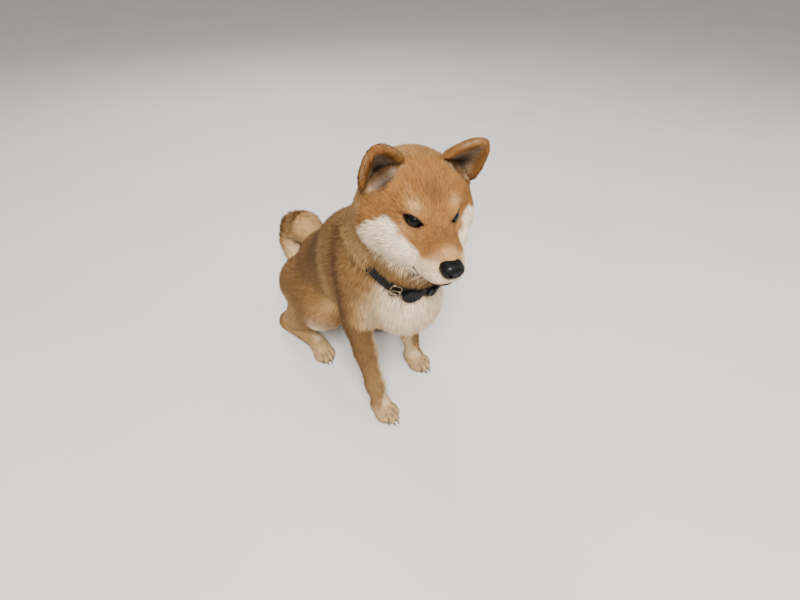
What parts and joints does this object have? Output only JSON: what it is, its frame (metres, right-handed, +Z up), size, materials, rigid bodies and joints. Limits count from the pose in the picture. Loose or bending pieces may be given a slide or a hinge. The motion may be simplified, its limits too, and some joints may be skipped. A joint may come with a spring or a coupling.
{
  "type": "sitting shiba inu figure",
  "caption": "Life-size still figure of a sitting shiba inu with a curled tail, its head turned to its right, wearing a leather collar.",
  "frame": {"origin": "middle of the figure's bounding box, on the floor", "axes": "+Z up; the dog's body faces -Y and its left side is towards +X"},
  "size_m": [0.2114, 0.5442, 0.5003],
  "materials": {
    "coat_red": "dense short coat",
    "coat_cream": "dense short coat",
    "eye": "wet gloss",
    "nose": "moist, finely grained",
    "collar_leather": "dark, worn smooth",
    "collar_metal": "satin"
  },
  "bodies": {
    "root": {"head": "coat_red", "lower_jaw": "coat_cream", "nose": "nose", "eye_left": "eye", "eye_right": "eye", "ear_left": "coat_red", "ear_right": "coat_red", "neck": "coat_red", "torso": "coat_red", "haunch_left": "coat_red", "haunch_right": "coat_red", "foreleg_left": "coat_red", "foreleg_right": "coat_red", "forepaw_left": "coat_cream", "forepaw_right": "coat_cream", "hindleg_left": "coat_red", "hindleg_right": "coat_red", "hindpaw_left": "coat_cream", "hindpaw_right": "coat_cream", "tail_base": "coat_red", "tail_middle": "coat_red", "tail_tip": "coat_cream", "collar_strap": "collar_leather", "collar_buckle": "collar_metal", "collar_tag": "collar_leather", "collar_end": "collar_leather"}
  },
  "joints": []
}
